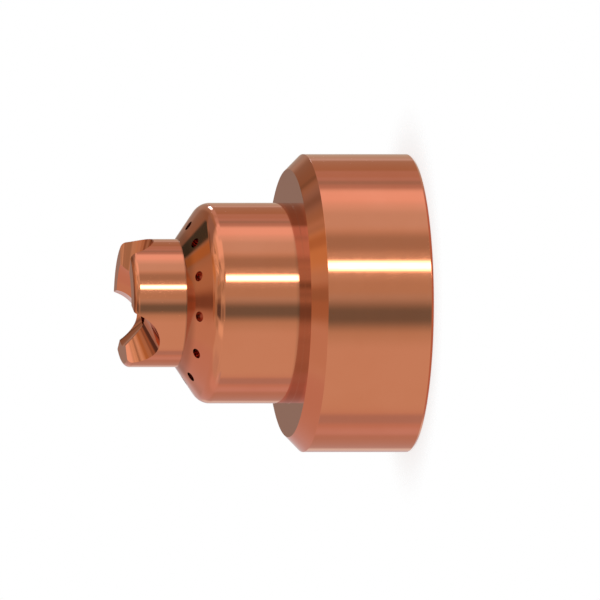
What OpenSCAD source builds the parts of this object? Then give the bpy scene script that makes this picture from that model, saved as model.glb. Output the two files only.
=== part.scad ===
// Plasma torch shield: one turned copper piece.
// It stands on the rear face of its ring, with the nose up.
// The origin is the centre of that rear face, and +Z runs along the axis to the nose.
// Sizes are in millimetres.

/* [Ring] */
// Outer diameter of the ring that screws onto the torch
ring_d = 30; // [29.4:0.1:36]
// Length of the ring, from its rear face to its front face
ring_len = 12.3; // [10:0.1:16]
// Chamfer at the front edge of the ring
ring_chamfer = 1.5; // [0.4:0.1:1.9]
// Small chamfer that breaks the rear edge of the ring
rear_break = 0.25; // [0.05:0.05:0.4]
// Thickness of the ring's front wall
front_wall = 2.1; // [1.2:0.1:3]

/* [Ring socket] */
// Diameter of the socket's wall, which is the root of its thread
socket_d = 27; // [24:0.1:27.6]
// Lead-in chamfer at the mouth of the socket
mouth_chamfer = 0.5; // [0.1:0.1:0.6]
// Diameter of the pilot recess beyond the socket
pilot_d = 24.6; // [22.6:0.1:25]
// Depth of the pilot recess
pilot_depth = 1.2; // [0.4:0.1:2.4]
// Width of the relief groove where the thread ends
relief_w = 1.2; // [0.6:0.1:2]
// Depth of the relief groove below the socket's wall
relief_depth = 0.25; // [0.1:0.05:0.4]

/* [Body] */
// Outer diameter of the body
body_d = 20.2; // [18:0.1:22]
// Wall thickness of the body and of the cone
wall = 1.6; // [1:0.1:2.2]
// Radius of the rounded shoulder between the body and the cone
shoulder_round = 1.6; // [0.4:0.1:3]
// Lead-in chamfer at the rear of the bore
bore_chamfer = 0.3; // [0.1:0.05:0.6]
// Angle between the cone's side and the axis
cone_angle = 55; // [45:1:65]

/* [Nose] */
// Overall length, from the rear face of the ring to the tip of the nose
overall_len = 29.1; // [27.5:0.1:34]
// Outer diameter of the nose
nose_d = 12.9; // [12:0.1:14.4]
// Length of the nose in front of the cone
nose_len = 5.35; // [4.8:0.05:7.4]
// Radius of the rounded edge at the tip of the nose
nose_round = 0.6; // [0.2:0.05:0.9]
// Diameter of the gas orifice
orifice_d = 4.55; // [3:0.05:5.4]
// Diameter of the funnel where it opens at the tip
funnel_d = 8.8; // [7.2:0.1:10]
// Angle between the funnel's side and the axis
funnel_angle = 46; // [40:1:55]

/* [Slots] */
// Number of slots across the tip
slot_count = 3; // [2:1:4]
// Radius of a slot where it leaves the nose
slot_r = 3.55; // [3:0.05:4.2]
// Distance from the tip to the slots' axes, which lie in front of it
slot_rise = 0.75; // [0.5:0.05:1.6]
// Angle between a slot's side and its axis, as it narrows to the middle
slot_taper = 15; // [8:1:25]

/* [Vents] */
// Number of gas vents round the cone
vent_count = 12; // [6:1:18]
// Diameter of a vent
vent_d = 1.05; // [0.6:0.05:1.3]
// Diameter of the circle on which the vents open
vent_circle_d = 15.8; // [15.4:0.1:16.4]

/* [Hidden] */

// How far a cutting shape runs past the surface that it cuts
overrun = 1;
// Facets of a round shape, and of a vent
round_fn = 96;
vent_fn = 32;

ring_r = ring_d / 2;
socket_r = socket_d / 2;
pilot_r = pilot_d / 2;
body_r = body_d / 2;
nose_r = nose_d / 2;
orifice_r = orifice_d / 2;
funnel_r = funnel_d / 2;
vent_circle_r = vent_circle_d / 2;

// Heights above the rear face
pilot_end_z = ring_len - front_wall;
socket_end_z = pilot_end_z - pilot_depth;
relief_start_z = socket_end_z - relief_w;
cone_top_z = overall_len - nose_len;
cone_base_z = cone_top_z - (body_r - nose_r) / tan(cone_angle);
funnel_end_z = overall_len - (funnel_r - orifice_r) / tan(funnel_angle);

// The inner cone runs parallel to the outer one, one wall thickness inside it
bore_r = body_r - wall;
function outer_cone_z(r) = cone_top_z - (r - nose_r) / tan(cone_angle);
function inner_cone_z(r) = outer_cone_z(r) - wall / sin(cone_angle);

// Tangent length and centre of the rounded shoulder
shoulder_tangent = shoulder_round * tan(cone_angle / 2);
shoulder_centre = [body_r - shoulder_round, cone_base_z - shoulder_tangent];

// Half section of the ring, without its socket
module ring_section() {
    polygon([
        [0, 0],
        [ring_r - rear_break, 0],
        [ring_r, rear_break],
        [ring_r, ring_len - ring_chamfer],
        [ring_r - ring_chamfer, ring_len],
        [0, ring_len],
    ]);
}

// What the rounded shoulder takes off the corner between body and cone
module shoulder_waste() {
    difference() {
        polygon([
            shoulder_centre,
            [body_r, cone_base_z - shoulder_tangent],
            [body_r, cone_base_z],
            [
                body_r - shoulder_tangent * sin(cone_angle),
                cone_base_z + shoulder_tangent * cos(cone_angle),
            ],
        ]);
        translate(shoulder_centre)
            circle(r = shoulder_round, $fn = round_fn);
    }
}

// What the rounded edge takes off the corner at the tip
module tip_waste() {
    difference() {
        translate([nose_r - nose_round, overall_len - nose_round])
            square(nose_round + overrun);
        translate([nose_r - nose_round, overall_len - nose_round])
            circle(r = nose_round, $fn = round_fn);
    }
}

// Half section of the body, the cone and the nose, without the bore
module body_section() {
    difference() {
        polygon([
            [0, 0],
            [body_r, 0],
            [body_r, cone_base_z],
            [nose_r, cone_top_z],
            [nose_r, overall_len],
            [0, overall_len],
        ]);
        shoulder_waste();
        tip_waste();
    }
}

// Half section of everything that is hollow, from the socket to the funnel
module hollow_section() {
    polygon([
        [0, -overrun],
        [socket_r + mouth_chamfer + overrun, -overrun],
        [socket_r, mouth_chamfer],
        [socket_r, relief_start_z],
        [socket_r + relief_depth, relief_start_z],
        [socket_r + relief_depth, socket_end_z],
        [pilot_r, socket_end_z],
        [pilot_r, pilot_end_z],
        [bore_r + bore_chamfer, pilot_end_z],
        [bore_r, pilot_end_z + bore_chamfer],
        [bore_r, inner_cone_z(bore_r)],
        [orifice_r, inner_cone_z(orifice_r)],
        [orifice_r, funnel_end_z],
        [funnel_r + overrun * tan(funnel_angle), overall_len + overrun],
        [0, overall_len + overrun],
    ]);
}

// One slot: a cone that lies across the tip and narrows to the middle of the nose
module slot() {
    reach = nose_r + overrun;
    translate([0, 0, overall_len + slot_rise])
        rotate([0, 90, 0])
            cylinder(
                r1 = slot_r - nose_r * tan(slot_taper),
                r2 = slot_r + overrun * tan(slot_taper),
                h = reach,
                $fn = round_fn
            );
}

// One vent, drilled square to the cone through its wall
module vent() {
    depth = wall + 2 * overrun;
    translate([vent_circle_r, 0, outer_cone_z(vent_circle_r)])
        rotate([0, 270 - cone_angle, 0])
            translate([0, 0, -overrun])
                cylinder(d = vent_d, h = depth, $fn = vent_fn);
}

module shield() {
    color("#c47850")
    difference() {
        rotate_extrude($fn = round_fn)
            difference() {
                union() {
                    ring_section();
                    body_section();
                }
                hollow_section();
            }
        for (i = [0 : slot_count - 1])
            rotate(i * 360 / slot_count) slot();
        for (i = [0 : vent_count - 1])
            rotate(i * 360 / vent_count) vent();
    }
}

shield();
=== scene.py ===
"""Looks of the plasma torch shield: a turned copper part that stands on its ring in a light tent.

Sizes are in millimetres until a mesh or a material is made from them, unless they say metres. Heights
count from the ring's rear face.
"""
import math

import bmesh
import bpy
import numpy as np
from mathutils import Matrix, Vector


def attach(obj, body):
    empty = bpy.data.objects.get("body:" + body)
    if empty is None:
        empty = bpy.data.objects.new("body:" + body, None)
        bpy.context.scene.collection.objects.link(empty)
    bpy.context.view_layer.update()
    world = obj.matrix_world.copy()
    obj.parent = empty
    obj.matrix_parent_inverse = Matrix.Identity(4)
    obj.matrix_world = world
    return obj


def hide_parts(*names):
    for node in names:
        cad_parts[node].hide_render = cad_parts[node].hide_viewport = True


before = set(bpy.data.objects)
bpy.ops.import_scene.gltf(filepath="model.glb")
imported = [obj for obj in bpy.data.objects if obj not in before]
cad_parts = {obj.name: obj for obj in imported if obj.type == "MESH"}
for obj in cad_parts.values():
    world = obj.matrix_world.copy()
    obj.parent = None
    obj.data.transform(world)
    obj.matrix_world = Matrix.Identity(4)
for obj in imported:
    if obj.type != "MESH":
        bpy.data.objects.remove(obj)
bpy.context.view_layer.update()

scene = bpy.context.scene
MM = 0.001
rad = math.radians


def add_object(name, data):
    obj = bpy.data.objects.new(name, data)
    scene.collection.objects.link(obj)
    return obj


# Camera, which looks at the part without perspective, with the nose to the left
CAM_TURN = rad(10)
CAM_LIFT = rad(10)
CAM_WIDTH = 60.4 * MM
# Middle of its view, from the origin towards the nose and towards the top of the picture
CAM_TO_NOSE = 10.92 * MM
CAM_TO_TOP = 0.31 * MM
# How far away it stands, and how near and how far it sees
CAM_AWAY = 300 * MM
CAM_NEAR = 1 * MM
CAM_FAR = 10_000 * MM


def direction(turn, lift):
    """The unit vector at this turn round the part's axis, counted from -Y, and at this lift above level."""
    return Vector((math.sin(turn) * math.cos(lift), -math.cos(turn) * math.cos(lift), math.sin(lift)))


def make_camera():
    to_camera = direction(CAM_TURN, CAM_LIFT)
    to_nose = direction(CAM_TURN, CAM_LIFT + rad(90))
    to_top = direction(CAM_TURN + rad(90), 0)
    data = bpy.data.cameras.new("camera")
    data.type = "ORTHO"
    data.ortho_scale = CAM_WIDTH
    data.clip_start = CAM_NEAR
    data.clip_end = CAM_FAR
    place = Matrix((-to_nose, to_top, to_camera)).transposed().to_4x4()
    place.translation = to_nose * CAM_TO_NOSE + to_top * CAM_TO_TOP + to_camera * CAM_AWAY
    camera = add_object("camera", data)
    camera.matrix_world = place
    return camera


scene.camera = make_camera()

# Sizes of the ring and its socket, as the part's source has them
RING_R = 15.0
RING_LEN = 12.3
RING_CHAMFER = 1.5
REAR_BREAK = 0.25
SOCKET_R = 13.5
SOCKET_END = 9.0
MOUTH_CHAMFER = 0.5
RELIEF_R = 13.75
RELIEF_START = 7.8
PILOT_R = 12.3
PILOT_END = 10.2

# Sizes of the body and the cone
BODY_R = 10.1
BORE_R = 8.5
BORE_CHAMFER = 0.3
SHOULDER_ROUND = 1.6
CONE_ANGLE = rad(55)

# Sizes of the nose
OVERALL = 29.1
NOSE_R = 6.45
NOSE_LEN = 5.35
NOSE_ROUND = 0.6
ORIFICE_R = 2.275
FUNNEL_R = 4.4
FUNNEL_ANGLE = rad(46)

# Sizes of the slots and the vents. A slot has SLOT_R where it leaves the nose, narrows towards the axis,
# and has its own axis SLOT_RISE above the tip.
SLOT_COUNT = 3
SLOT_R = 3.55
SLOT_RISE = 0.75
SLOT_TAPER = rad(15)
VENT_COUNT = 12
VENT_R = 0.525
VENT_CIRCLE_R = 7.9

# Small rounds that the tools leave
TIGHT_ROUND = 0.02
RELIEF_ROUND = 0.03
EDGE_ROUND = 0.04
BREAK_ROUND = 0.05
DEEP_ROUND = 0.1
INNER_CONE_ROUND = 0.2

WALL = BODY_R - BORE_R
CONE_TOP = OVERALL - NOSE_LEN
CONE_BASE = CONE_TOP - (BODY_R - NOSE_R) / math.tan(CONE_ANGLE)
FUNNEL_END = OVERALL - (FUNNEL_R - ORIFICE_R) / math.tan(FUNNEL_ANGLE)


def outer_cone_z(r):
    return CONE_TOP - (r - NOSE_R) / math.tan(CONE_ANGLE)


def inner_cone_z(r):
    return outer_cone_z(r) - WALL / math.sin(CONE_ANGLE)


# Corners of the half section, from the mouth of the socket up the outside to the orifice, and back down
# the inside. Each has its radius, its height and its round.
OUTSIDE = [
    (SOCKET_R + MOUTH_CHAMFER, 0, EDGE_ROUND),
    (RING_R - REAR_BREAK, 0, BREAK_ROUND),
    (RING_R, REAR_BREAK, BREAK_ROUND),
    (RING_R, RING_LEN - RING_CHAMFER, EDGE_ROUND),
    (RING_R - RING_CHAMFER, RING_LEN, EDGE_ROUND),
    (BODY_R, RING_LEN, TIGHT_ROUND),
    (BODY_R, CONE_BASE, SHOULDER_ROUND),
    (NOSE_R, CONE_TOP, TIGHT_ROUND),
    (NOSE_R, OVERALL, NOSE_ROUND),
    (FUNNEL_R, OVERALL, EDGE_ROUND),
    (ORIFICE_R, FUNNEL_END, EDGE_ROUND),
]
INSIDE = [
    (ORIFICE_R, inner_cone_z(ORIFICE_R), EDGE_ROUND),
    (BORE_R, inner_cone_z(BORE_R), INNER_CONE_ROUND),
    (BORE_R, PILOT_END + BORE_CHAMFER, EDGE_ROUND),
    (BORE_R + BORE_CHAMFER, PILOT_END, EDGE_ROUND),
    (PILOT_R, PILOT_END, DEEP_ROUND),
    (PILOT_R, SOCKET_END, BREAK_ROUND),
    (RELIEF_R, SOCKET_END, DEEP_ROUND),
    (RELIEF_R, RELIEF_START, DEEP_ROUND),
    (SOCKET_R, RELIEF_START, RELIEF_ROUND),
    (SOCKET_R, MOUTH_CHAMFER, EDGE_ROUND),
]
CORNERS = OUTSIDE + INSIDE

# Places of the four metals among the shield's materials, by how a surface was cut
TURNED, MILLED, DRILLED, BORED = range(4)

# Steps of the mesh: round the axis, in a quarter turn of a large or a small round and at least, and round
# a slot or a vent. A round is large when its radius is over LARGE_ROUND.
LATHE_STEPS = 384
LARGE_ROUND = 0.3
LARGE_ROUND_STEPS = 20
SMALL_ROUND_STEPS = 5
LEAST_ROUND_STEPS = 3
SLOT_STEPS = 256
VENT_STEPS = 48
# Part of a step by which a cutter is turned, so that its edges keep off the lathe's
CUTTER_TURN = 0.37
# How far a cutter runs past the surface that it cuts
SLOT_OVERRUN = 1
VENT_OVERRUN = 0.8

# To find the surface that a face lies on: how far past a hole's ends its wall still counts, what is added
# to a face's distance beyond them, and how much a face's tilt counts beside its distance
END_SLACK = 0.01
FAR_OFF = 1000
TILT_WEIGHT = 0.05

# Where the tool marks of each slot and each vent start, so that no two look alike
SLOT_MARKS = 200
SLOT_MARKS_STEP = 20
VENT_MARKS = 300
VENT_MARKS_STEP = 5


class Turned:
    """A stretch of the half section, which the lathe makes into a surface round the axis."""

    marks = 0

    def at(self, points):
        """How far each point is off the surface, the normal there, and how far along it the point is."""
        radius = np.hypot(points[:, 0], points[:, 1])
        outward = points[:, :2] / radius[:, None]
        off, normal, along = self.in_section(np.column_stack((radius, points[:, 2])))
        return off, np.column_stack((outward * normal[:, :1], normal[:, 1])), along


class Line(Turned):
    """A straight stretch, with the copper to the left of its way."""

    def __init__(self, start, end, zone):
        self.start = start
        self.length = np.linalg.norm(end - start)
        self.way = (end - start) / self.length
        self.normal = np.array((self.way[1], -self.way[0]))
        self.zone = zone

    def section_points(self):
        return [self.start]

    def in_section(self, points):
        along = (points - self.start) @ self.way
        past = np.abs(along - np.clip(along, 0, self.length))
        off = np.abs((points - self.start) @ self.normal)
        return off + past, np.broadcast_to(self.normal, points.shape), along


class Arc(Turned):
    """A round stretch. It turns left round an outer corner of the copper, and right in an inner one."""

    def __init__(self, start, way, radius, turn, zone):
        self.side = math.copysign(1, turn)
        self.radius = radius
        self.turn = turn
        self.centre = start + np.array((-way[1], way[0])) * self.side * radius
        self.first = math.atan2(start[1] - self.centre[1], start[0] - self.centre[0])
        self.length = abs(turn) * radius
        self.zone = zone

    def point(self, part):
        """The point at this part of the arc, from 0 at its start to 1 at its end."""
        angle = self.first + self.turn * part
        return self.centre + self.radius * np.array((math.cos(angle), math.sin(angle)))

    def section_points(self):
        in_quarter = LARGE_ROUND_STEPS if self.radius > LARGE_ROUND else SMALL_ROUND_STEPS
        steps = max(LEAST_ROUND_STEPS, math.ceil(abs(self.turn) / rad(90) * in_quarter))
        return [self.point(k / steps) for k in range(steps)]

    def in_section(self, points):
        out = points - self.centre
        middle = self.first + self.turn / 2
        half = abs(self.turn) / 2
        away = (np.arctan2(out[:, 1], out[:, 0]) - middle + math.pi) % (2 * math.pi) - math.pi
        held = np.clip(away, -half, half)
        past = np.abs(away - held) * self.radius
        off = np.abs(np.hypot(out[:, 0], out[:, 1]) - self.radius)
        angle = middle + held
        normal = self.side * np.column_stack((np.cos(angle), np.sin(angle)))
        return off + past, normal, np.abs(angle - self.first) * self.radius


class Hole:
    """A round hole across the turned part, straight or tapered: a slot or a vent.

    It runs from start to end along its axis, counted from the spot, where it has this radius. The unit
    vector side points across it, and its tool marks are counted from marks.
    """

    def __init__(self, spot, axis, side, radius, taper, start, end, steps, marks, zone):
        self.spot = spot
        self.axis = axis
        self.side = side
        self.radius = radius
        self.taper = taper
        self.start = start
        self.end = end
        self.steps = steps
        self.marks = marks
        self.zone = zone

    def radius_at(self, along):
        return self.radius + along * math.tan(self.taper)

    def at(self, points):
        """How far each point is off the wall, the normal there, and how far along it the point is."""
        along = (points - self.spot) @ self.axis
        across = points - self.spot - np.outer(along, self.axis)
        reach = np.linalg.norm(across, axis=1)
        off = np.abs(reach - self.radius_at(along)) * math.cos(self.taper)
        beyond = (along < self.start - END_SLACK) | (along > self.end + END_SLACK)
        normal = self.axis * math.sin(self.taper) - across / reach[:, None] * math.cos(self.taper)
        return off + np.where(beyond, FAR_OFF, 0), normal, along

    def cutter(self):
        """A solid rod that fills the hole."""
        verts = []
        for along in (self.start, self.end):
            for k in range(self.steps):
                a = 2 * math.pi * (k + CUTTER_TURN) / self.steps
                out = math.cos(a) * self.side + math.sin(a) * np.cross(self.axis, self.side)
                verts.append(self.spot + self.axis * along + self.radius_at(along) * out)
        faces = []
        for k in range(self.steps):
            m = (k + 1) % self.steps
            faces.append((k, m, self.steps + m, self.steps + k))
        faces.append(tuple(reversed(range(self.steps))))
        faces.append(tuple(range(self.steps, 2 * self.steps)))
        return mesh_object("cutter", verts, faces)


def unit(vector):
    return vector / np.linalg.norm(vector)


def corner_arc(i):
    """The arc that rounds corner i of the half section."""
    before, here, after = (np.array(CORNERS[k % len(CORNERS)][:2]) for k in (i - 1, i, i + 1))
    radius = CORNERS[i][2]
    way_in = unit(here - before)
    way_out = unit(after - here)
    turn = math.atan2(way_in[0] * way_out[1] - way_in[1] * way_out[0], way_in @ way_out)
    start = here - way_in * radius * math.tan(abs(turn) / 2)
    return Arc(start, way_in, radius, turn, BORED if i >= len(OUTSIDE) else TURNED)


def half_section():
    """The arcs and lines of the closed half section, one after the other."""
    arcs = [corner_arc(i) for i in range(len(CORNERS))]
    stretches = []
    for i, arc in enumerate(arcs):
        following = arcs[(i + 1) % len(arcs)]
        # The line from the last outside corner is the wall of the orifice
        zone = BORED if i >= len(OUTSIDE) - 1 else TURNED
        stretches += [arc, Line(arc.point(1), following.point(0), zone)]
    travelled = 0
    for stretch in stretches:
        stretch.marks = travelled
        travelled += stretch.length
    return stretches


def round_axis(turn):
    """The unit vectors that point away from the axis at this turn, and round it."""
    return np.array((math.cos(turn), math.sin(turn), 0)), np.array((-math.sin(turn), math.cos(turn), 0))


def slot(i):
    outward, side = round_axis(rad(i * 360 / SLOT_COUNT))
    return Hole(
        spot=np.array((0, 0, OVERALL + SLOT_RISE)),
        axis=outward,
        side=side,
        radius=SLOT_R - NOSE_R * math.tan(SLOT_TAPER),
        taper=SLOT_TAPER,
        start=0,
        end=NOSE_R + SLOT_OVERRUN,
        steps=SLOT_STEPS,
        marks=SLOT_MARKS + SLOT_MARKS_STEP * i,
        zone=MILLED,
    )


def vent(i):
    outward, side = round_axis(rad(i * 360 / VENT_COUNT))
    return Hole(
        spot=outward * VENT_CIRCLE_R + np.array((0, 0, outer_cone_z(VENT_CIRCLE_R))),
        axis=outward * math.cos(CONE_ANGLE) + np.array((0, 0, math.sin(CONE_ANGLE))),
        side=side,
        radius=VENT_R,
        taper=0,
        start=-WALL - VENT_OVERRUN,
        end=VENT_OVERRUN,
        steps=VENT_STEPS,
        marks=VENT_MARKS + VENT_MARKS_STEP * i,
        zone=DRILLED,
    )


def mesh_object(name, verts, faces):
    mesh = bpy.data.meshes.new(name)
    mesh.from_pydata([[float(c) * MM for c in vert] for vert in verts], [], faces)
    mesh.validate()
    return add_object(name, mesh)


def lathe(name, section, steps, closed):
    """Turns the points of a section round the axis. The surface faces the right of their way."""
    verts = []
    for r, z in section:
        for j in range(steps):
            a = j * 2 * math.pi / steps
            verts.append((r * math.cos(a), r * math.sin(a), z))
    rows = len(section)
    faces = []
    for i in range(rows if closed else rows - 1):
        k = (i + 1) % rows
        for j in range(steps):
            m = (j + 1) % steps
            faces.append((i * steps + j, i * steps + m, k * steps + m, k * steps + j))
    return mesh_object(name, verts, faces)


def cut(body, holes):
    cutters = [hole.cutter() for hole in holes]
    for cutter in cutters:
        step = body.modifiers.new("cut", "BOOLEAN")
        step.operation = "DIFFERENCE"
        step.solver = "EXACT"
        step.object = cutter
    bpy.context.view_layer.update()
    ready = body.evaluated_get(bpy.context.evaluated_depsgraph_get())
    mesh = bpy.data.meshes.new_from_object(ready)
    body.modifiers.clear()
    body.data = mesh
    for cutter in cutters:
        bpy.data.objects.remove(cutter)


def read(items, name, width, kind):
    """One property of all the items, a row for each."""
    values = np.empty(len(items) * width, kind)
    items.foreach_get(name, values)
    return values.reshape(-1, width)


def exact_normals(mesh, surfaces):
    """Gives every face corner the normal of the true surface, so that the metal reflects without facets.

    It also stores how far along its surface each corner is, for the tool marks, and returns the zones
    of the faces.
    """
    centre = read(mesh.polygons, "center", 3, float) / MM
    facing = read(mesh.polygons, "normal", 3, float)
    scores = []
    for surface in surfaces:
        off, normal, _ = surface.at(centre)
        scores.append(off + TILT_WEIGHT * (1 - (normal * facing).sum(axis=1)))
    which = np.argmin(scores, axis=0)

    place = read(mesh.vertices, "co", 3, float) / MM
    corner = place[read(mesh.loops, "vertex_index", 1, int)[:, 0]]
    corner_which = np.repeat(which, read(mesh.polygons, "loop_total", 1, int)[:, 0])
    normals = np.zeros(corner.shape)
    turning = np.zeros(len(corner))
    for k, surface in enumerate(surfaces):
        mine = corner_which == k
        _, normals[mine], along = surface.at(corner[mine])
        turning[mine] = surface.marks + along

    mesh.polygons.foreach_set("use_smooth", np.ones(len(mesh.polygons), bool))
    attribute = mesh.attributes.new("turning", "FLOAT", "CORNER")
    attribute.data.foreach_set("value", (turning * MM).astype(np.float32))
    mesh.normals_split_custom_set([tuple(normal) for normal in normals])
    mesh.update()
    return np.array([surface.zone for surface in surfaces])[which]


section = half_section()
holes = [slot(i) for i in range(SLOT_COUNT)] + [vent(i) for i in range(VENT_COUNT)]
outline = [point for stretch in section for point in stretch.section_points()]
shield = lathe("shield_turned", outline, LATHE_STEPS, True)
cut(shield, holes)
zones = exact_normals(shield.data, section + holes)

# Thread on the wall of the socket: its pitch, the radius of its crest, how wide it is at its foot and its
# crest, the heights between which it runs, and its steps in a turn
THREAD_PITCH = 1.5
THREAD_CREST_R = 12.7
THREAD_BASE = 1.3
THREAD_CREST = 0.38
THREAD_LOW = 1.25
THREAD_HIGH = 7.1
THREAD_STEPS = 144
# How far its foot is sunk in the wall
THREAD_SUNK = 0.03
# In how many steps it rises at its ends, and the share of its height that it has there
THREAD_RISE_STEPS = THREAD_STEPS / 5
THREAD_LEAST = 0.02
# Its edges are sharp where faces meet at more than this angle
THREAD_SHARP = rad(25)


def thread(name):
    """One helical ridge with flanks at about 60 degrees, which runs out into the wall at both ends."""
    total = int((THREAD_HIGH - THREAD_LOW) / THREAD_PITCH * THREAD_STEPS)
    foot_r = SOCKET_R + THREAD_SUNK
    verts = []
    for k in range(total + 1):
        a = 2 * math.pi * k / THREAD_STEPS
        z = THREAD_LOW + THREAD_PITCH * k / THREAD_STEPS
        risen = min(1.0, k / THREAD_RISE_STEPS, (total - k) / THREAD_RISE_STEPS)
        # It rises smoothly
        risen = max(risen * risen * (3 - 2 * risen), THREAD_LEAST)
        crest_r = foot_r - (foot_r - THREAD_CREST_R) * risen
        profile = (
            (foot_r, -THREAD_BASE),
            (crest_r, -THREAD_CREST),
            (crest_r, THREAD_CREST),
            (foot_r, THREAD_BASE),
        )
        for r, width in profile:
            verts.append((r * math.cos(a), r * math.sin(a), z + width / 2))
    # Each step has the four corners of the profile
    faces = []
    for k in range(total):
        for c in range(4):
            d = (c + 1) % 4
            faces.append((4 * k + c, 4 * k + d, 4 * k + 4 + d, 4 * k + 4 + c))
    faces.append((0, 3, 2, 1))
    faces.append((4 * total, 4 * total + 1, 4 * total + 2, 4 * total + 3))
    ridge = mesh_object(name, verts, faces)
    mesh = ridge.data
    mesh.polygons.foreach_set("use_smooth", [True] * len(mesh.polygons))
    mesh.set_sharp_from_angle(angle=THREAD_SHARP)
    return ridge


ridge = thread("socket_thread")


class Nodes:
    """Short ways to fill a node tree. A value may be a number, a colour or another node's output."""

    def __init__(self, tree):
        self.tree = tree
        tree.nodes.clear()

    def add(self, kind, **settings):
        node = self.tree.nodes.new(kind)
        for key, value in settings.items():
            setattr(node, key, value)
        return node

    def feed(self, socket, value):
        if isinstance(value, bpy.types.NodeSocket):
            self.tree.links.new(value, socket)
        elif isinstance(value, tuple):
            socket.default_value = (*value, 1)
        else:
            socket.default_value = value

    def math(self, operation, *values):
        node = self.add("ShaderNodeMath", operation=operation)
        for socket, value in zip(node.inputs, values):
            self.feed(socket, value)
        return node.outputs[0]

    def product(self, first, *others):
        for other in others:
            first = self.math("MULTIPLY", first, other)
        return first

    def ramp(self, value, low, high, out_low=0.0, out_high=1.0):
        """A smooth step from out_low, where the value is low, to out_high, where it is high."""
        node = self.add("ShaderNodeMapRange", interpolation_type="SMOOTHSTEP", clamp=True)
        limits = {"Value": value, "From Min": low, "From Max": high, "To Min": out_low, "To Max": out_high}
        for key, limit in limits.items():
            self.feed(node.inputs[key], limit)
        return node.outputs["Result"]

    # The mix node has sockets of their own for numbers and for colours

    def mix(self, factor, a, b):
        node = self.add("ShaderNodeMix", data_type="FLOAT")
        for socket, value in zip((node.inputs[0], node.inputs[2], node.inputs[3]), (factor, a, b)):
            self.feed(socket, value)
        return node.outputs[0]

    def mix_colour(self, factor, a, b):
        node = self.add("ShaderNodeMix", data_type="RGBA")
        for socket, value in zip((node.inputs[0], node.inputs[6], node.inputs[7]), (factor, a, b)):
            self.feed(socket, value)
        return node.outputs[2]

    def mix_shader(self, factor, a, b):
        node = self.add("ShaderNodeMixShader")
        for socket, value in zip(node.inputs, (factor, a.outputs[0], b.outputs[0])):
            self.feed(socket, value)
        return node

    def noise(self, dimensions, place, scale, detail):
        """Noise at a place, which is one number for one dimension and otherwise a vector."""
        node = self.add("ShaderNodeTexNoise", noise_dimensions=dimensions)
        self.feed(node.inputs["W" if dimensions == "1D" else "Vector"], place)
        self.feed(node.inputs["Scale"], scale)
        self.feed(node.inputs["Detail"], detail)
        return node.outputs["Fac"]

    def object_place(self):
        return self.add("ShaderNodeTexCoord").outputs["Object"]

    def parts(self, vector):
        node = self.add("ShaderNodeSeparateXYZ")
        self.feed(node.inputs[0], vector)
        return node.outputs


def new_material(name):
    material = bpy.data.materials.new(name)
    material.use_nodes = True
    return material, Nodes(material.node_tree)


# Copper: how many waves its noises have in a metre, and how many finer octaves
FINE_MARKS = 9000
FINE_DETAIL = 2
BROAD_MARKS = 900
BROAD_DETAIL = 3
CLOUDS = 160
CLOUD_DETAIL = 4
# How much red, green and blue is left where the metal is cloudy, and the noise at which that starts and ends
CLOUDED = (0.98, 0.955, 0.93)
CLOUDED_FROM = 0.35
CLOUDED_TO = 0.7
# What broad marks and clouds add to the roughness, and the noise at which they start and end
BROAD_ROUGH = (0.3, 0.7, 0.025)
CLOUD_ROUGH = (0.4, 0.75, 0.02)
# Shares of the fine and the broad marks in the relief, and its depth in metres
FINE_SHARE = 0.35
BROAD_SHARE = 0.65
MARK_DEPTH = 0.002 * MM
# Painted shade in the two inner corners, at the ring and at the foot of the nose, where the part's own
# reflections fall dark: its radii and its heights, each as lower limit, soft edge, upper limit and soft
# edge, and then how much of the colour is left
FOOT_PAINTED_SHADE = (
    (BODY_R - 0.6, 0.2, RING_R - RING_CHAMFER, 0.05),
    (RING_LEN - 0.3, 0.2, RING_LEN + 1.0, 0.45),
    0.74,
)
# Painted shade where the nose meets the cone
NECK_PAINTED_SHADE = (
    (NOSE_R - 0.6, 0.2, NOSE_R + 1.3, 0.9),
    (CONE_TOP - 1.25, 0.1, CONE_TOP + 0.15, 0.1),
    0.7,
)


def within(n, value, limits):
    """1 where a length in metres is within the limits, which are in millimetres, and 0 outside them."""
    low, soft_low, high, soft_high = limits
    above = n.ramp(value, low * MM, (low + soft_low) * MM)
    below = n.ramp(value, high * MM, (high - soft_high) * MM)
    return n.product(above, below)


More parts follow.
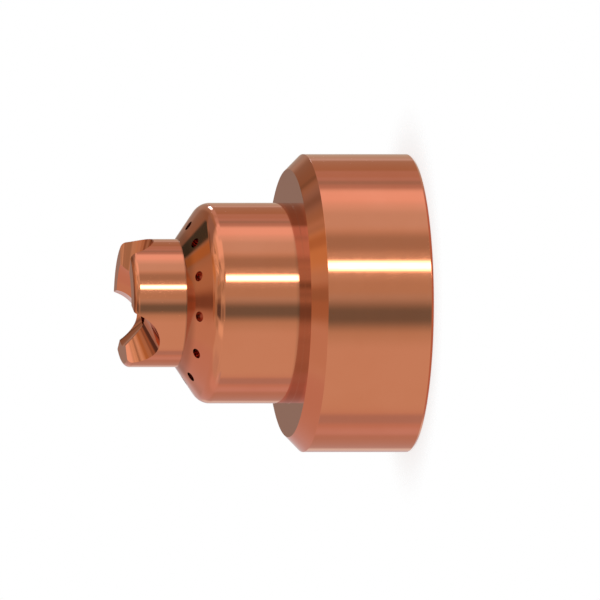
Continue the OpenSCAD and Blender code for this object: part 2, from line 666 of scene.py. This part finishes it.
def copper(name, tone, dull, rings, marks):
    """Bare copper of this tone.

    dull is its least roughness, rings is how strong the tool marks are, and marks is how close they lie.
    """
    material, n = new_material(name)
    shader = n.add("ShaderNodeBsdfPrincipled")
    n.feed(shader.inputs["Metallic"], 1.0)
    n.feed(n.add("ShaderNodeOutputMaterial").inputs["Surface"], shader.outputs[0])

    turning = n.add("ShaderNodeAttribute", attribute_type="GEOMETRY", attribute_name="turning")
    fine = n.noise("1D", turning.outputs["Fac"], FINE_MARKS * marks, FINE_DETAIL)
    broad = n.noise("1D", turning.outputs["Fac"], BROAD_MARKS * marks, BROAD_DETAIL)
    place = n.object_place()
    cloud = n.noise("3D", place, CLOUDS, CLOUD_DETAIL)

    x, y, z = n.parts(place)
    radius = n.math("SQRT", n.math("ADD", n.math("POWER", x, 2.0), n.math("POWER", y, 2.0)))
    clouded = tuple(c * left for c, left in zip(tone, CLOUDED))
    colour = n.mix_colour(n.ramp(cloud, CLOUDED_FROM, CLOUDED_TO), tone, clouded)
    # Painted shade: the colour is darker in the two inner corners
    for radii, heights, left in (FOOT_PAINTED_SHADE, NECK_PAINTED_SHADE):
        shade_mask = n.product(within(n, radius, radii), within(n, z, heights))
        colour = n.mix_colour(shade_mask, colour, tuple(c * left for c in tone))
    n.feed(shader.inputs["Base Color"], colour)

    start, end, added = BROAD_ROUGH
    rough = n.ramp(broad, start, end, dull, dull + added)
    start, end, added = CLOUD_ROUGH
    rough = n.math("ADD", rough, n.ramp(cloud, start, end, 0.0, added))
    n.feed(shader.inputs["Roughness"], rough)

    bump = n.add("ShaderNodeBump")
    n.feed(bump.inputs["Strength"], rings)
    n.feed(bump.inputs["Distance"], MARK_DEPTH)
    n.feed(bump.inputs["Height"], n.math("ADD", n.product(fine, FINE_SHARE), n.product(broad, BROAD_SHARE)))
    n.feed(shader.inputs["Normal"], bump.outputs["Normal"])
    return material


POLISHED = (0.800, 0.282, 0.142)
# The vents' walls get a darker copper: painted shade in the holes
DRILLED_SHADED_TONE = (0.62, 0.27, 0.17)
BORED_TONE = (0.74, 0.25, 0.12)
# The metals in the order of TURNED, MILLED, DRILLED and BORED
metals = [
    copper("turned_copper", POLISHED, dull=0.065, rings=0.05, marks=1.0),
    copper("milled_copper", POLISHED, dull=0.055, rings=0.05, marks=0.7),
    copper("drilled_copper", DRILLED_SHADED_TONE, dull=0.16, rings=0.08, marks=1.5),
    copper("bored_copper", BORED_TONE, dull=0.14, rings=0.2, marks=0.6),
]
shield.data.materials.clear()
for metal in metals:
    shield.data.materials.append(metal)
shield.data.polygons.foreach_set("material_index", zones.astype(np.int32))
ridge.data.materials.append(metals[BORED])
for piece in (shield, ridge):
    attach(piece, "root")
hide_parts("shield")

# Floor: a narrow ring just under the part, which takes the part's shadow and fades into the white round it.
# Its inner and outer radius, where it starts to fade, how far below the part it lies, and its steps.
FLOOR_IN = 14.2
FLOOR_OUT = 21
FLOOR_FADE = 15.2
FLOOR_DROP = 0.02
FLOOR_ROWS = 8
FLOOR_STEPS = 128
# Share of its white that shines by itself, so that the shadow stays faint
FLOOR_GLOW = 0.7


def make_floor():
    widths = [FLOOR_OUT + (FLOOR_IN - FLOOR_OUT) * k / FLOOR_ROWS for k in range(FLOOR_ROWS + 1)]
    floor = lathe("floor", [(r, 0) for r in widths], FLOOR_STEPS, False)
    floor.location.z = -FLOOR_DROP * MM
    floor.visible_glossy = False
    paint, n = new_material("pale_floor")
    white = n.add("ShaderNodeBsdfDiffuse")
    n.feed(white.inputs["Color"], (1, 1, 1))
    pale = n.mix_shader(FLOOR_GLOW, white, n.add("ShaderNodeEmission"))
    length = n.add("ShaderNodeVectorMath", operation="LENGTH")
    n.feed(length.inputs[0], n.object_place())
    faded = n.ramp(length.outputs["Value"], FLOOR_FADE * MM, FLOOR_OUT * MM)
    # From below it can't be seen
    below = n.add("ShaderNodeNewGeometry").outputs["Backfacing"]
    gone = n.math("MAXIMUM", faded, below)
    fade = n.mix_shader(gone, pale, n.add("ShaderNodeBsdfTransparent"))
    n.feed(n.add("ShaderNodeOutputMaterial").inputs["Surface"], fade.outputs[0])
    floor.data.materials.append(paint)
    return floor


floor = make_floor()


def white_world():
    world = bpy.data.worlds.new("white")
    world.use_nodes = True
    n = Nodes(world.node_tree)
    sky = n.add("ShaderNodeBackground")
    n.feed(sky.inputs["Color"], (1, 1, 1))
    n.feed(sky.inputs["Strength"], 1.0)
    n.feed(n.add("ShaderNodeOutputWorld").inputs["Surface"], sky.outputs[0])
    world.cycles.sampling_method = "NONE"
    return world


scene.world = white_world()

# Light tent: a large ball round the part, lit from inside by panels that only the metal's reflections see.
# Its radius is in metres.
TENT_R = 2.0
TENT_SEGMENTS = 48
TENT_RINGS = 24
WALL_COLOUR = (0.70, 0.69, 0.69)
# The tent's angles are in degrees: the turn round the part's axis, counted from the side where the camera
# stands and up towards the top of the picture, and the height above level.
# The bright strip that makes the highlights: turn, half width, soft edge, lowest, highest, soft edge
KEY = (28.85, 3.3, 5.0, -60, -7.4, 1.6)
KEY_LEVEL = 9.0
# Each panel lies over those before it: name, turn, half width, soft edge, lowest, highest, soft edge, colour
PANELS = [
    ("left wall", -135, 38, 24, -90, 70, 14, (0.62, 0.51, 0.53)),
    ("left glow", -111, 11, 16, -4, 34, 16, (0.71, 0.60, 0.67)),
    ("left cool", -84, 16, 16, 16, 46, 14, (0.62, 0.60, 0.63)),
    ("left foot", -144, 20, 14, -90, 2, 10, (0.55, 0.45, 0.43)),
    ("left end", -170, 12, 12, 14, 46, 14, (0.48, 0.38, 0.35)),
    ("front wall", 8, 36, 20, -90, 62, 16, (0.57, 0.57, 0.53)),
    ("high front", -2, 60, 26, 60, 76, 12, (0.59, 0.56, 0.48)),
    ("high shade", -13, 20, 14, 59, 76, 10, (0.40, 0.37, 0.30)),
    ("high right", 82, 34, 20, 57, 75, 12, (0.66, 0.50, 0.29)),
    ("high back", 131, 24, 16, 58, 78, 10, (0.50, 0.40, 0.31)),
    ("roof", 0, 200, 10, 76, 104, 7, (0.44, 0.31, 0.215)),
    ("roof dim", 21, 15, 12, 77, 84, 4, (0.37, 0.28, 0.205)),
    ("high left", -108, 60, 30, 60, 80, 8, (0.63, 0.55, 0.53)),
    ("high left end", -152, 8, 12, 62, 78, 8, (0.46, 0.34, 0.28)),
    ("high left shade", -33, 8, 12, 50, 66, 8, (0.49, 0.46, 0.42)),
    ("roof window", 82, 34, 14, 74, 84, 6, (0.58, 0.51, 0.44)),
    ("back wall", 140, 40, 8, -6, 62, 10, (0.42, 0.35, 0.28)),
    ("back shade", 152, 24, 12, 13, 34, 8, (0.30, 0.23, 0.17)),
    ("roof back", 177, 24, 26, 58, 85, 4, (0.22, 0.14, 0.11)),
    ("back foot", 112, 14, 6, -90, -5, 5, (0.55, 0.48, 0.52)),
    ("back foot shade", 107.5, 2.4, 3, -90, -6, 4, (0.43, 0.42, 0.45)),
    ("back foot warm", 134, 12, 5, -90, -5, 5, (0.455, 0.35, 0.265)),
    ("back foot step", 119.5, 5, 3, -90, -5, 5, (0.53, 0.43, 0.41)),
    ("back foot end", 161, 12, 12, -90, -5, 5, (0.54, 0.46, 0.36)),
    ("side foot", 71, 11, 9, -90, 0, 7, (0.71, 0.76, 0.83)),
    ("card shoulder", 107, 10, 12, -6, 8, 8, (0.66, 0.60, 0.66)),
    ("soft box", 72, 18, 12, -3, 29, 10, (1.04, 1.02, 1.09)),
    ("box spill", 65, 21, 12, 30, 57, 12, (0.81, 0.78, 0.71)),
    ("box shoulder", 43, 6, 8, -2, 20, 8, (0.80, 0.81, 0.78)),
    ("box frame", 83, 12, 6, 42, 47, 5, (0.55, 0.50, 0.43)),
    ("box bar", 48, 5, 5, 23, 33, 4, (0.50, 0.49, 0.45)),
    ("bright post", 43, 4, 5, 35, 50, 6, (0.82, 0.81, 0.74)),
    ("warm strip", 28, 4, 5, 40, 52, 5, (0.61, 0.50, 0.38)),
    ("front glow", 5, 5, 5, 2, 27, 6, (0.64, 0.66, 0.61)),
    ("front grey", 11, 10, 6, 31, 58, 6, (0.46, 0.44, 0.39)),
    ("front dim", 1, 5, 5, 34, 58, 6, (0.30, 0.26, 0.22)),
    ("low roof back", 162, 20, 10, 57, 66, 5, (0.29, 0.20, 0.15)),
    ("amber line", 101, 14, 8, 60, 66, 4, (0.50, 0.35, 0.20)),
    ("pale line", 111, 7, 6, 54, 59, 4, (0.57, 0.49, 0.43)),
    ("card slope", 82, 5, 9, -90, 14, 8, (0.86, 0.87, 0.98)),
    ("bright card", 91.4, 7.2, 8, -90, 14, 8, (1.03, 0.96, 1.10)),
    ("card edge", 97, 6, 6, -6, 6, 5, (0.98, 0.91, 1.05)),
    ("step light", 127, 8, 8, -6, 6, 5, (0.60, 0.52, 0.50)),
    ("gap", 47.7, 7.8, 11, -90, -5, 5, (0.45, 0.45, 0.43)),
    ("front cool", 3, 4, 5, -90, -2, 5, (0.55, 0.59, 0.60)),
    ("key glow", 29, 10, 8, -90, -5, 5, (0.68, 0.70, 0.69)),
    ("fold of light", -33, 8, 10, 11, 42, 14, (0.91, 0.91, 0.88)),
    ("right fold", 32, 6, 6, 6, 30, 8, (0.82, 0.85, 0.82)),
    ("tan post", 20, 5, 5, 8, 57, 8, (0.43, 0.42, 0.36)),
    ("flag", -9.2, 8.8, 12.5, -90, 1, 9, (0.20, 0.25, 0.26)),
    ("flag top", -11, 8, 10, 7, 33, 8, (0.33, 0.33, 0.31)),
    ("dark window", -11, 10, 7, 32, 60, 5, (0.13, 0.12, 0.13)),
    ("window sill", -11, 8, 8, 24, 29, 3, (0.46, 0.48, 0.44)),
    ("post light", 20, 5, 5, 18, 29, 4, (0.60, 0.59, 0.52)),
    ("key shade", 31, 6, 5, -6.6, -1, 2.5, (0.50, 0.39, 0.29)),
    ("blue spill", -97, 9, 10, 0, 12, 8, (0.71, 0.69, 0.80)),
    ("blue foot", -95, 9, 8, -6, 1, 4, (0.58, 0.60, 0.73)),
    ("low dim", -102, 5.5, 6, -90, -6, 5, (0.52, 0.49, 0.57)),
    ("low card", -118, 5, 7, -90, 2, 8, (0.67, 0.58, 0.65)),
    ("low end", -159, 5, 6, -90, 4, 6, (0.78, 0.74, 0.68)),
    ("grey screen", 114, 16, 12, 16, 48, 10, (0.33, 0.31, 0.32)),
    ("smoke screen", 126, 7, 8, 42, 58, 6, (0.24, 0.20, 0.18)),
    ("dark screen", 146, 9.5, 6, 31, 47.5, 4, (0.06, 0.08, 0.07)),
    ("amber screen", 140, 8, 6, 49.5, 58, 3, (0.47, 0.30, 0.13)),
    ("amber door", 173, 12, 7, 31, 42, 6, (0.27, 0.17, 0.09)),
    ("brown door", 174, 12, 7, 22, 31, 5, (0.12, 0.05, 0.02)),
    ("lintel", 172, 16, 10, 60, 65, 4, (0.38, 0.24, 0.16)),
    ("high door", 178, 13, 8, 46, 59, 6, (0.10, 0.07, 0.07)),
    ("behind", 177, 12, 8, 3, 17, 5, (0.35, 0.28, 0.235)),
    ("rear lamp", 142.5, 5, 2, -2.8, 3, 2, (4.0, 5.8, 8.0)),
    ("under the table", 0, 200, 10, -100, -40, 16, (0.54, 0.32, 0.27)),
]

# Soft folds of the cloth, which climb towards the top of the picture and lie level on the other side:
# the width and the length of a fold, how steeply they climb, how much darker or brighter they make it,
# and how many finer folds lie in them
FOLD_WIDTH = 2.5
FOLD_LENGTH = 30.0
FOLD_CLIMB = 0.8
FOLD_DEPTH = 0.28
FOLD_DETAIL = 2.0
# The noise at which they are darkest and brightest
FOLD_NOISE = (0.3, 0.7)
# Where they are faintest and where they are full: heights, turns, and heights off the line that they climb
FOLD_LOW = (2.0, 8.0)
FOLD_HIGH = (62.0, 50.0)
FOLD_LEFT = (-20.0, 5.0)
FOLD_RIGHT = (105.0, 90.0)
FOLD_OFF_CLIMB = (32.0, 14.0)
# How much of them is left on the level side
FOLD_LEFT_SHARE = 0.3
# Degrees in a radian and in half a turn
RADIAN = 180 / math.pi
HALF_TURN = 180.0


def make_ball():
    mesh = bpy.data.meshes.new("tent")
    shape = bmesh.new()
    bmesh.ops.create_uvsphere(shape, u_segments=TENT_SEGMENTS, v_segments=TENT_RINGS, radius=TENT_R)
    shape.to_mesh(mesh)
    shape.free()
    ball = add_object("tent", mesh)
    ball.visible_camera = False
    ball.visible_diffuse = False
    ball.visible_transmission = False
    ball.visible_shadow = False
    ball.visible_volume_scatter = False
    return ball


def tent_angles(n):
    """The turn and the height of a place on the tent, in degrees."""
    unit_place = n.add("ShaderNodeVectorMath", operation="NORMALIZE")
    n.feed(unit_place.inputs[0], n.object_place())
    x, y, z = n.parts(unit_place.outputs[0])
    # The camera stands CAM_TURN from -Y, where the arc tangent is -90 degrees
    turn = n.math("ADD", n.product(n.math("ARCTAN2", y, x), RADIAN), 90 - math.degrees(CAM_TURN))
    lift = n.product(n.math("ARCSINE", z), RADIAN)
    return turn, lift


def patch(n, turn, lift, middle, half, soft, low, high, soft_up):
    """1 within a panel's limits and 0 outside them, with soft edges."""
    across = n.math("PINGPONG", n.math("SUBTRACT", turn, middle), HALF_TURN)
    upright = n.math("ABSOLUTE", n.math("SUBTRACT", lift, (low + high) / 2))
    half_up = (high - low) / 2
    return n.product(
        n.ramp(across, half - soft / 2, half + soft / 2, 1.0, 0.0),
        n.ramp(upright, half_up - soft_up / 2, half_up + soft_up / 2, 1.0, 0.0),
    )


def fold_shade(n, turn, lift):
    """How much darker or brighter the folds make the cloth."""
    off_climb = n.math("SUBTRACT", lift, n.product(n.math("MAXIMUM", turn, 0.0), FOLD_CLIMB))
    place = n.add("ShaderNodeCombineXYZ")
    n.feed(place.inputs[0], n.product(off_climb, 1 / FOLD_WIDTH))
    n.feed(place.inputs[1], n.product(turn, 1 / FOLD_LENGTH))
    folds = n.noise("2D", place.outputs[0], 1.0, FOLD_DETAIL)
    folded = n.product(
        n.ramp(lift, *FOLD_LOW),
        n.ramp(lift, *FOLD_HIGH),
        n.ramp(turn, *FOLD_LEFT, FOLD_LEFT_SHARE, 1.0),
        n.ramp(turn, *FOLD_RIGHT),
        n.ramp(n.math("ABSOLUTE", off_climb), *FOLD_OFF_CLIMB),
    )
    return n.mix(folded, 1.0, n.ramp(folds, *FOLD_NOISE, 1 - FOLD_DEPTH, 1 + FOLD_DEPTH))


def tent_cloth():
    cloth, n = new_material("tent_light")
    turn, lift = tent_angles(n)
    light = WALL_COLOUR
    for name, *limits, colour in PANELS:
        light = n.mix_colour(patch(n, turn, lift, *limits), light, colour)
        light.node.label = name
    key = patch(n, turn, lift, *KEY)
    glow = n.add("ShaderNodeEmission")
    n.feed(glow.inputs["Color"], n.mix_colour(key, light, (1.0, 1.0, 1.0)))
    n.feed(glow.inputs["Strength"], n.mix(key, fold_shade(n, turn, lift), KEY_LEVEL))
    n.feed(n.add("ShaderNodeOutputMaterial").inputs["Surface"], glow.outputs[0])
    # Only reflections find it, so it isn't sampled as a lamp
    cloth.cycles.emission_sampling = "NONE"
    return cloth


tent = make_ball()
tent.data.materials.append(tent_cloth())

scene.view_settings.view_transform = "Standard"
